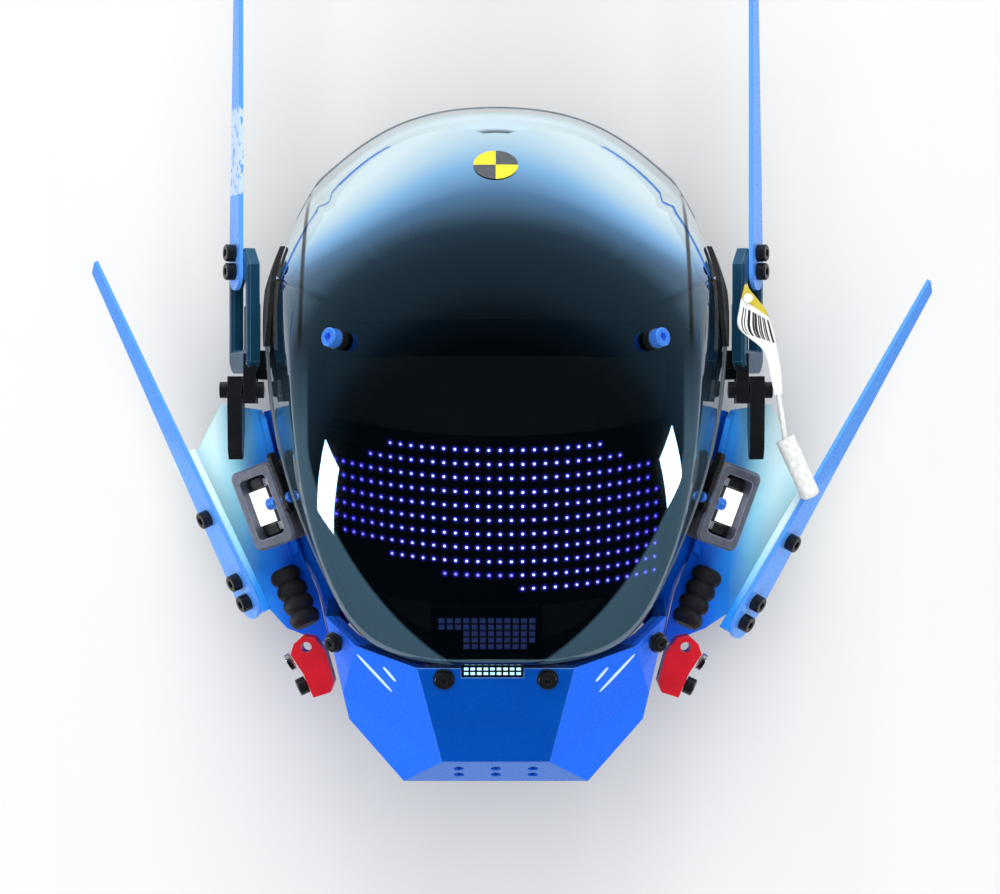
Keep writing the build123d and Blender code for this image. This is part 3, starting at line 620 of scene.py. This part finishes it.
def drawn_onto_dome(point):
    """Point moved level towards the dome's axis until it lies on the dome."""
    flat = outside_dome(point) + 1 - ((point.z - DOME_CENTRE[2]) / DOME_AXES[2]) ** 2
    share = math.sqrt((1 - ((point.z - DOME_CENTRE[2]) / DOME_AXES[2]) ** 2) / flat)
    return Vector((point.x * share, DOME_CENTRE[1] + (point.y - DOME_CENTRE[1]) * share, point.z))


def visor_meridian(low, high, wall_rows=9, bend_rows=6, dome_rows=44):
    """Points of one line from the rim, over the rounded crease, to just short of the apex."""
    rim_z = rim_height(low, high)
    crease_z = max(crease_height(low, high), rim_z + 0.6)
    crease = drawn_onto_dome(wall_point(low, high, crease_z))
    bend = min(CREASE_ROUND, (crease_z - rim_z) * 0.6)
    bend_start = wall_point(low, high, crease_z - bend)
    if outside_dome(bend_start) > 0:
        bend_start = drawn_onto_dome(bend_start)
    reach = math.hypot(crease.x, crease.y - DOME_CENTRE[1])
    last_share = 1 - bend / reach
    bend_end = dome_point(crease, last_share)
    line = []
    for k in range(wall_rows):
        z = rim_z + (bend_start.z - rim_z) * k / wall_rows
        point = wall_point(low, high, z)
        line.append(drawn_onto_dome(point) if outside_dome(point) > 0 else point)
    for k in range(bend_rows + 1):
        t = k / bend_rows
        line.append(bend_start * (1 - t) ** 2 + crease * 2 * t * (1 - t) + bend_end * t ** 2)
    for k in range(1, dome_rows):
        line.append(dome_point(crease, last_share * (1 - k / dome_rows)))
    return line


def build_visor(mats):
    lower = closed_spline(mirrored_outline(VISOR_RIM), 9)
    upper = closed_spline(mirrored_outline(VISOR_BROW), 9)
    bm = bmesh.new()
    lines = []
    for low, high in zip(lower, upper):
        lines.append([bm.verts.new(p * MM) for p in visor_meridian(low, high)])
    for i, line in enumerate(lines):
        after = lines[(i + 1) % len(lines)]
        bridge(bm, line, after, closed=False)
    apex = bm.verts.new(Vector((DOME_CENTRE[0], DOME_CENTRE[1], DOME_CENTRE[2] + DOME_AXES[2])) * MM)
    for i, line in enumerate(lines):
        bm.faces.new((line[-1], lines[(i + 1) % len(lines)][-1], apex))
    visor = make_object("visor_shell", bm, mats, "mask")
    wall = visor.modifiers.new("wall", "SOLIDIFY")
    wall.thickness = VISOR_WALL * MM
    wall.offset = -1
    wall.material_offset = 1
    wall.material_offset_rim = 1
    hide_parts("visor_lens")
    return visor


# ---------------------------------------------------------------- light matrix
LED_AXIS = Vector((0, math.cos(LED_TILT), math.sin(LED_TILT)))
LED_DOWN = LED_AXIS.cross(Vector((1, 0, 0)))


def led_place(row, column, lift):
    """Matrix on the carrier's front at a row and column, Z outwards."""
    turn = column * LED_COLUMN_TURN
    out = Vector((1, 0, 0)) * math.sin(turn) - LED_DOWN * math.cos(turn)
    height = ((len(LED_LIT) - 1) / 2 - row) * LED_ROW_PITCH
    centre = LED_FRONT + LED_DOWN * LED_RADIUS + out * (LED_RADIUS + lift) + LED_AXIS * height
    return placing(centre * MM, out)


def lit_leds():
    for row, (first, last) in enumerate(LED_LIT):
        for column in range(first, last + 1):
            yield row, column


def build_led_points(mat):
    """One small domed light point for each lit place."""
    bm = bmesh.new()
    level = bm.verts.layers.float.new("level")
    for row, column in lit_leds():
        facing = math.cos(column * LED_COLUMN_TURN * 1.5)
        size = (0.38 + 0.28 * facing) * MM
        place = led_place(row, column, 0.1)
        before = len(bm.verts)
        lathe(bm, place, [(size, 0), (size * 0.8, size * 0.5), (size * 0.3, size * 0.7)], 10)
        bm.verts.ensure_lookup_table()
        for vert in bm.verts[before:]:
            vert[level] = max(0.0, facing) ** 2 * (0.55 if row > 8 and column < 2 else 1.0)
    return make_object("led_points", bm, [mat], "mask")


def build_led_halos(mat):
    """Thin glowing disc round each light point."""
    bm = bmesh.new()
    uv = bm.loops.layers.uv.new("UVMap")
    segments = 12
    for row, column in lit_leds():
        place = led_place(row, column, 0.05)
        ring = turned_ring(bm, place, LED_HALO_RADIUS * MM, 0, segments)
        face = bm.faces.new(ring)
        for k, loop in enumerate(face.loops):
            turn = 2 * math.pi * k / segments
            loop[uv].uv = (0.5 + 0.5 * math.cos(turn), 0.5 + 0.5 * math.sin(turn))
    return make_object("led_halos", bm, [mat], "mask")


def tile(bm, place, wide, tall, thick):
    """Small bevelled lens tile."""
    rows = []
    for inset, height in ((0.0, 0.0), (0.0, thick * 0.6), (0.12, thick)):
        x, y = wide / 2 - inset * wide, tall / 2 - inset * tall
        corners = [(-x, -y), (x, -y), (x, y), (-x, y)]
        rows.append([bm.verts.new(place @ Vector((a, b, height))) for a, b in corners])
    for lower, upper in zip(rows, rows[1:]):
        bridge(bm, lower, upper)
    bm.faces.new(rows[-1])


def build_mouth_cells(mat):
    """Dim square cells behind the lower lens."""
    bm = bmesh.new()
    across = Vector((1, 0, 0))
    up = MOUTH_NORMAL.cross(across)
    turn = Matrix((across, up, MOUTH_NORMAL)).transposed().to_4x4()
    for row, (first, last) in enumerate(MOUTH_ROWS):
        for column in range(first, last):
            shift = (across * (column - MOUTH_MIDDLE_COLUMN) + up * (MOUTH_MIDDLE_ROW - row)) * MOUTH_PITCH
            centre = (MOUTH_CENTRE + shift + MOUTH_NORMAL * 0.8) * MM
            tile(bm, Matrix.Translation(centre) @ turn, MOUTH_TILE * MM, MOUTH_TILE * MM, 0.3 * MM)
    return make_object("mouth_cells", bm, [mat], "mask", smooth=False)


def build_slot_cells(mat):
    """Bright cells in the slot of the chin guard."""
    low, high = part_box("mouth_strip")
    bm = bmesh.new()
    pitch = (high.x - low.x) / SLOT_COLUMNS
    depth = (high.y - low.y) / 2
    for column in range(SLOT_COLUMNS):
        for row in range(2):
            centre = Vector((low.x + (column + 0.5) * pitch, low.y + (row + 0.5) * depth, high.z))
            tile(bm, Matrix.Translation(centre), pitch * 0.66, depth * 0.56, 0.5 * MM)
    return make_object("slot_cells", bm, [mat], "mask", smooth=False)


# ---------------------------------------------------------------- cushion, tag and small fittings
def squared(value):
    """Sine or cosine of a section pushed out towards a square."""
    return math.copysign(abs(value) ** CUSHION_SQUARENESS, value)


def build_cushion(mat):
    """Crowned foam ring with sewn channels inside the rear frame."""
    line = closed_spline(mirrored_outline(FRAME_OUT), 14)
    low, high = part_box("face_foam")
    bm = bmesh.new()
    rings = []
    for i, (x, y) in enumerate(line):
        length = math.hypot(x, y - CUSHION_MIDDLE_Y)
        phase = i / len(line) * CUSHION_CHANNELS
        pinch = 1 - 0.22 * max(0.0, math.cos(2 * math.pi * phase)) ** 10
        ring = []
        for k in range(CUSHION_SECTION):
            turn = 2 * math.pi * k / CUSHION_SECTION
            inset = (CUSHION_INSET[0] + CUSHION_INSET[1]) / 2
            inset -= squared(math.cos(turn)) * pinch * (CUSHION_INSET[1] - CUSHION_INSET[0]) / 2
            share = (length - inset) / length
            half_height = (high.z - low.z) / 2 * (0.94 + 0.06 * pinch)
            height = (low.z + high.z) / 2 + squared(math.sin(turn)) * half_height
            spot = (x * share * MM, (CUSHION_MIDDLE_Y + (y - CUSHION_MIDDLE_Y) * share) * MM, height)
            ring.append(bm.verts.new(spot))
        rings.append(ring)
    for i, ring in enumerate(rings):
        bridge(bm, ring, rings[(i + 1) % len(rings)])
    cushion = make_object("face_cushion", bm, [mat], "mask")
    cushion.modifiers.new("round", "SUBSURF").levels = 1
    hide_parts("face_foam")
    return cushion


LABEL_ROWS = [((118.1, 77.3, 86.0), (128.6, 65.2, 82.0)), ((115.4, 66, 86.4), (131, 59, 81)),
              ((115.2, 56, 86.4), (133.5, 51, 80)), ((127, 46, 82), (136, 41, 76.5)),
              ((131, 34, 77.5), (137, 33, 75)), ((133.5, 24.5, 75.2), (137.3, 25.3, 74.2))]


def through(points, t):
    """Point on the smooth curve through the points, t from 0 to 1."""
    span = min(int(t * (len(points) - 1)), len(points) - 2)
    f = t * (len(points) - 1) - span
    a, b = points[max(span - 1, 0)], points[span]
    c, d = points[span + 1], points[min(span + 2, len(points) - 1)]
    bend = 2 * a - 5 * b + 4 * c - d
    twist = 3 * b - a - 3 * c + d
    return 0.5 * (2 * b + (c - a) * f + bend * f ** 2 + twist * f ** 3)


def build_label(mat):
    """Bent film label that narrows into its strap."""
    lefts = [Vector(pair[0]) for pair in LABEL_ROWS]
    rights = [Vector(pair[1]) for pair in LABEL_ROWS]
    bm = bmesh.new()
    uv = bm.loops.layers.uv.new("UVMap")
    rows, columns = 30, 8
    grid = []
    for i in range(rows + 1):
        left, right = through(lefts, i / rows), through(rights, i / rows)
        line = []
        for j in range(columns + 1):
            share = j / columns
            bow = Vector((0, 0, 1)) * 1.2 * math.sin(math.pi * share) * math.sin(math.pi * i / rows)
            line.append(bm.verts.new((left.lerp(right, share) + bow) * MM))
        grid.append(line)
    for i in range(rows):
        for j in range(columns):
            face = bm.faces.new((grid[i][j], grid[i][j + 1], grid[i + 1][j + 1], grid[i + 1][j]))
            for loop, (a, b) in zip(face.loops, ((i, j), (i, j + 1), (i + 1, j + 1), (i + 1, j))):
                loop[uv].uv = (b / columns, 1 - a / rows)
    label = make_object("tag_film", bm, [mat], "tag")
    film = label.modifiers.new("film", "SOLIDIFY")
    film.thickness = 0.6 * MM
    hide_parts("tag_label")
    return label


CHIN_RIDGES = [((47.5, -112.0), (64.0, -95.5)), ((45.6, -106.8), (51.2, -100.6))]
RIDGE_SECTION = ((-0.75, -0.1), (-0.35, 0.45), (0.35, 0.45), (0.75, -0.1))
RIDGE_STEPS = 12


def build_chin_ridges(mat):
    """Slim raised ridges on the guard's side facets, laid on its surface."""
    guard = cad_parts["chin_guard"]
    surface = BVHTree.FromObject(guard, bpy.context.evaluated_depsgraph_get())
    bm = bmesh.new()
    for _, side in SIDES:
        for start, end in CHIN_RIDGES:
            run = (Vector(end) - Vector(start)).normalized()
            rows = []
            for k in range(RIDGE_STEPS + 1):
                spot = Vector(start).lerp(Vector(end), k / RIDGE_STEPS)
                taper = 0.35 + 0.65 * math.sin(math.pi * k / RIDGE_STEPS) ** 0.4
                row = []
                for across, lift in RIDGE_SECTION:
                    x = side * (spot.x - run.y * across * taper)
                    y = spot.y + run.x * across * taper
                    hit, normal, _, _ = surface.ray_cast(Vector((x, y, 300)) * MM, Vector((0, 0, -1)))
                    row.append(bm.verts.new(hit + normal * lift * taper * MM))
                rows.append(row)
            for lower, upper in zip(rows, rows[1:]):
                bridge(bm, lower, upper, closed=False)
    return make_object("chin_ridges", bm, [mat], "mask")


def build_ear_fittings(side_name, side, knob_mat, light_mat):
    """Knob on the ear plate and the small blue light at its lower end."""
    low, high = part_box(f"ring_plate_{side_name}")
    middle = (low + high) / 2
    out = Vector((side * math.sin(EAR_LEAN), 0, math.cos(EAR_LEAN)))
    bm = bmesh.new()
    face = middle + out * 1.0 * MM + Vector((0, 4 * MM, 0))
    lathe(bm, placing(face, out), [(4.2 * MM, 0), (4.2 * MM, 1.2 * MM), (3.6 * MM, 1.8 * MM),
                                   (2.2 * MM, 1.8 * MM), (2.0 * MM, 1.2 * MM)])
    make_object(f"ear_knob_{side_name}", bm, [knob_mat], "mask")
    bm = bmesh.new()
    spot = middle + out * 1.0 * MM - Vector((0, 8.5 * MM, 0))
    lathe(bm, placing(spot, out), [(1.1 * MM, 0), (0.9 * MM, 0.6 * MM), (0.4 * MM, 0.9 * MM)], 14)
    make_object(f"ear_light_{side_name}", bm, [light_mat], "mask")


FLANGE_INNER = [(101.5, 20, 58), (95.5, -20, 52), (84.5, -55, 46), (76.5, -71, 42), (69, -84, 40)]
FLANGE_OUTER = [(113, 17, 59.5), (104, -20, 52), (95, -54, 45.5), (88, -71, 41.5), (83, -96, 37)]
FLANGE_ROWS = 24
FLANGE_COLUMNS = 4
FLANGE_BOW = 1.5


def build_jaw_flange(side_name, side, mat):
    """Curved flange that closes the gap between the frame and the jaw panel."""
    bm = bmesh.new()
    rows = []
    edges = [[Vector(p) for p in edge] for edge in (FLANGE_INNER, FLANGE_OUTER)]
    for k in range(FLANGE_ROWS + 1):
        inner, outer = (through(edge, k / FLANGE_ROWS) for edge in edges)
        row = []
        for j in range(FLANGE_COLUMNS + 1):
            share = j / FLANGE_COLUMNS
            bow = Vector((0, 0, FLANGE_BOW * math.sin(math.pi * share)))
            row.append(bm.verts.new(side_point(side, *(inner.lerp(outer, share) + bow))))
        rows.append(row)
    for lower, upper in zip(rows, rows[1:]):
        bridge(bm, lower, upper, closed=False)
    flange = make_object(f"jaw_flange_{side_name}", bm, [mat], "mask")
    flange.modifiers.new("sheet", "SOLIDIFY").thickness = 1.5 * MM


def lamp_frame(side):
    """Matrix of a jaw lamp: X along it, Y across it, Z out of its face."""
    along = Vector((math.sin(LAMP_TURN) * side, math.cos(LAMP_TURN), 0))
    out = Vector((math.cos(LAMP_TURN) * side, -math.sin(LAMP_TURN), 0))
    normal = out * math.sin(LAMP_TILT) + Vector((0, 0, 1)) * math.cos(LAMP_TILT)
    across = normal.cross(along)
    matrix = Matrix((along, across, normal)).transposed().to_4x4()
    return Matrix.Translation(side_point(side, *LAMP_CENTRE)) @ matrix


def build_lamp_fittings(side_name, side, dark_mat, grey_mat):
    """Reflector wings and fixing studs inside the lamp's window."""
    place = lamp_frame(side)
    bm = bmesh.new()
    for end in (-1, 1):
        stud = place @ Matrix.Translation(Vector((end * 12.2, -4.0 * side, -6.2)) * MM)
        lathe(bm, stud, [(1.5 * MM, 0), (1.5 * MM, 2.2 * MM), (1.1 * MM, 2.7 * MM)], 16)
    make_object(f"lamp_studs_{side_name}", bm, [dark_mat], f"lamp_{side_name}")
    bm = bmesh.new()
    for end in (-1, 1):
        near, far = end * 9.4, end * 13.2
        corners = [(near, -4.6), (near, 4.6), (far, 2.6), (far, -2.6)]
        lower = [bm.verts.new(place @ (Vector((x, y + 2.2 * side, -6.6)) * MM)) for x, y in corners]
        raised = [Vector((x * 0.98, y * 0.9 + 2.2 * side, -4.4)) for x, y in corners]
        upper = [bm.verts.new(place @ (point * MM)) for point in raised]
        bridge(bm, lower, upper)
        bm.faces.new(upper)
    make_object(f"lamp_wings_{side_name}", bm, [grey_mat], f"lamp_{side_name}", smooth=False)


# ---------------------------------------------------------------- floor, light and camera
def floor_surface():
    mat, tree, shader = new_tree("studio_floor")
    tone = ramp(tree, noise(tree, 3.0, 2.0), [(0.3, (0.73, 0.73, 0.728)), (0.7, (0.755, 0.755, 0.752))])
    tree.links.new(tone, shader.inputs["Base Color"])
    shader.inputs["Roughness"].default_value = 0.75
    shader.inputs["Specular IOR Level"].default_value = 0.2
    return mat


def stage_plane(name, wide, deep, height, mat):
    bm = bmesh.new()
    bmesh.ops.create_grid(bm, x_segments=4, y_segments=4, size=1.0)
    mesh = bpy.data.meshes.new(name)
    bm.to_mesh(mesh)
    bm.free()
    mesh.materials.append(mat)
    plane = bpy.data.objects.new(name, mesh)
    plane.scale = (wide, deep, 1)
    plane.location.z = height
    bpy.context.scene.collection.objects.link(plane)
    return plane


def build_floor():
    """Table top that the visor mirrors, and a wide floor under it that it does not."""
    mat = floor_surface()
    stage_plane("studio_table", TABLE_HALF_WIDTH, 3.0, CAD_BOX[0].z, mat)
    wide = stage_plane("studio_floor", 8.0, 8.0, CAD_BOX[0].z - 0.2 * MM, mat)
    wide.visible_glossy = False


def area_light(name, place, aim, size, power, shown=False, roll=0.0):
    """Soft rectangular light; only a shown one is mirrored in glossy surfaces."""
    lamp = bpy.data.lights.new(name, "AREA")
    lamp.shape = "RECTANGLE"
    lamp.size, lamp.size_y = size
    lamp.energy = power
    obj = bpy.data.objects.new(name, lamp)
    obj.location = place
    facing = (Vector(aim) - Vector(place)).to_track_quat("-Z", "Y")
    obj.rotation_euler = (facing @ Matrix.Rotation(roll, 3, "Z").to_quaternion()).to_euler()
    obj.visible_glossy = shown
    bpy.context.scene.collection.objects.link(obj)


def build_world():
    """Dark overhead and at the chin, bright and soft towards the brow's horizon."""
    world = bpy.data.worlds.new("studio")
    bpy.context.scene.world = world
    world.use_nodes = True
    tree = world.node_tree
    coords = tree.nodes.new("ShaderNodeTexCoord")
    split = tree.nodes.new("ShaderNodeSeparateXYZ")
    tree.links.new(coords.outputs["Generated"], split.inputs["Vector"])
    drop = math_node(tree, "MULTIPLY", split.outputs["Z"], HORIZON_SLANT)
    slant = math_node(tree, "SUBTRACT", split.outputs["Y"], drop)
    share = between(tree, slant, -HORIZON_SLANT, 2 * HORIZON_SLANT)
    glow_ramp = ramp(tree, share, [(0.17, (0.012, 0.014, 0.016)), (0.28, (0.04, 0.05, 0.055)),
                                   (0.36, (0.13, 0.15, 0.16)), (0.5, (0.21, 0.22, 0.23)),
                                   (0.57, (0.32, 0.33, 0.34)), (0.63, (0.78, 0.8, 0.8)),
                                   (0.7, (1.0, 1.0, 1.0))])
    back = tree.nodes["Background"]
    tree.links.new(glow_ramp, back.inputs["Color"])
    back.inputs["Strength"].default_value = 1.15


def build_camera():
    data = bpy.data.cameras.new("camera")
    data.lens = 77.04
    data.sensor_width = 36.0
    data.clip_end = 20.0
    camera = bpy.data.objects.new("camera", data)
    camera.location = (0.0019, 0.0, 1.1)
    bpy.context.scene.collection.objects.link(camera)
    bpy.context.scene.camera = camera


# ---------------------------------------------------------------- build
build_camera()

black_metal = finish("black_metal", (0.012, 0.013, 0.016), 0.3, metallic=0.4, edge_colour=(0.16, 0.17, 0.19))
black_plastic = finish("black_plastic", (0.014, 0.015, 0.018), 0.5, grain_depth=0.3)
matte_black = finish("matte_black", (0.005, 0.005, 0.007), 0.75, edge_amount=0.0, grain_depth=0.2)
rubber = finish("rubber", (0.011, 0.011, 0.013), 0.62, grain_depth=0.35, edge_colour=(0.05, 0.05, 0.055))
blue_metal = finish("blue_metal", (0.05, 0.24, 1.0), 0.28, metallic=0.4, edge_colour=(0.4, 0.65, 1.0))
fin_lacquer = blade_lacquer("fin_lacquer")
ring_metal = finish("ring_metal", (0.012, 0.075, 0.15), 0.36, metallic=0.5, edge=0.8,
                    edge_colour=(0.25, 0.42, 0.6), edge_amount=1.2)
dark_plate = finish("dark_plate", (0.006, 0.02, 0.034), 0.4, metallic=0.3)
red_metal = finish("red_metal", (0.62, 0.002, 0.016), 0.34, metallic=0.2,
                   edge_colour=(0.95, 0.12, 0.12), edge_amount=0.9)
steel = finish("steel", (0.42, 0.43, 0.45), 0.26, metallic=1.0, stretch=(1, 1, 8))
grey_metal = finish("grey_metal", (0.1, 0.11, 0.15), 0.4, metallic=0.3, spread=0.2, patch=250.0,
                    grain_depth=0.3, edge=0.9, edge_colour=(0.4, 0.48, 0.66), edge_amount=1.2)
wing_metal = finish("wing_metal", (0.4, 0.4, 0.48), 0.35, metallic=0.3)
grey_rubber = finish("grey_rubber", (0.16, 0.2, 0.24), 0.5, grain_depth=0.3)
white_plastic = finish("white_plastic", (0.74, 0.76, 0.74), 0.5, spread=0.16, patch=420.0, grain_depth=0.3)
board_green = finish("board_green", (0.01, 0.1, 0.045), 0.35, patch=300.0)

paint(["inner_frame", "brow_hoop", "led_carrier", "led_strips", "strap_anchors",
       "power_button", "battery_pack"], black_plastic)
paint(["rear_rim"] + both("temple_pad", "conduit"), rubber)
paint(["visor_gasket"], grey_rubber)
paint(["visor_screws"] + both("light_pivot"), blue_metal)
paint(["visor_spacers", "chin_screws", "chin_washers", "fin_screws", "antenna_screws", "bracket_screws"]
      + both("light_core", "light_arm", "hinge_block", "lever", "lever_pin"), black_metal)
paint(["chin_guard"], facet_lacquer_painted_light())
paint(both("fin"), fin_lacquer)
paint(["antenna_right"], fin_lacquer)
paint(["antenna_left"], banded_blade("banded_blade", 122 * MM, 164 * MM))
paint(both("side_ring"), ring_metal)
paint(both("ring_plate"), dark_plate)
paint(both("bracket"), red_metal)
paint(["bracket_rings"], steel)
paint(both("light_housing"), grey_metal)
paint(both("light_panel"), glow("lamp_panel", (1.0, 0.99, 0.98), 1.3))
paint(["mouth_strip", "mouth_matrix"], matte_black)
paint(["tag_strap", "tag_barrel"], white_plastic)
paint(["controller_board"], board_green)
paint(["target_marker"], quartered_film(*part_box("target_marker")))
for side_name, side in SIDES:
    # Cheek shells get blue lacquer with a painted sheen towards the outside.
    paint([f"cheek_shell_{side_name}"], lacquer_painted_sheen(f"cheek_lacquer_painted_sheen_{side_name}", side, 0.098, 0.15))

build_visor([visor_coat_painted_reflection(), visor_inside()])
build_led_points(led_core(26.0))
build_led_halos(led_halo(14.0))
build_mouth_cells(glow("mouth_glow", (0.12, 0.2, 0.75), 1.4))
build_slot_cells(glow("slot_glow", (0.42, 0.8, 1.0), 1.7))
build_cushion(knit_cover())
build_label(printed_label())
# The ridges' pale colour is a painted highlight along the chin guard's facets.
build_chin_ridges(finish("ridge_painted_highlight", (0.6, 0.82, 1.0), 0.16, coat=0.8, spread=0.05))
flange_lacquer = finish("flange_lacquer", (0.0, 0.1, 0.6), 0.3, coat=0.3, spread=0.1, tint=(0.1, 0.45, 1.0))
ear_glow = glow("ear_glow", (0.15, 0.4, 1.0), 4.0)
for side_name, side in SIDES:
    build_ear_fittings(side_name, side, black_metal, ear_glow)
    build_lamp_fittings(side_name, side, black_metal, wing_metal)
    build_jaw_flange(side_name, side, flange_lacquer)

build_floor()
build_world()
bpy.context.scene.view_settings.view_transform = "Standard"
area_light("key", (0.0, 1.5, 1.0), (0, 0, 0), (1.3, 1.3), 19.0)
area_light("overhead", (0.0, 0.3, 1.9), (0, 0, 0), (2.6, 2.6), 36.0)
area_light("front_fill", (0.0, -1.3, 1.1), (0, 0, 0), (1.8, 1.4), 17.0)
area_light("left_panel", (-1.23, -0.33, 0.04), (0, -0.33, 0.04), (0.42, 0.2), 8.0, True, math.radians(-48))
area_light("right_panel", (1.23, -0.23, 0.0), (0, -0.23, 0.0), (0.32, 0.2), 6.0, True, math.radians(52))
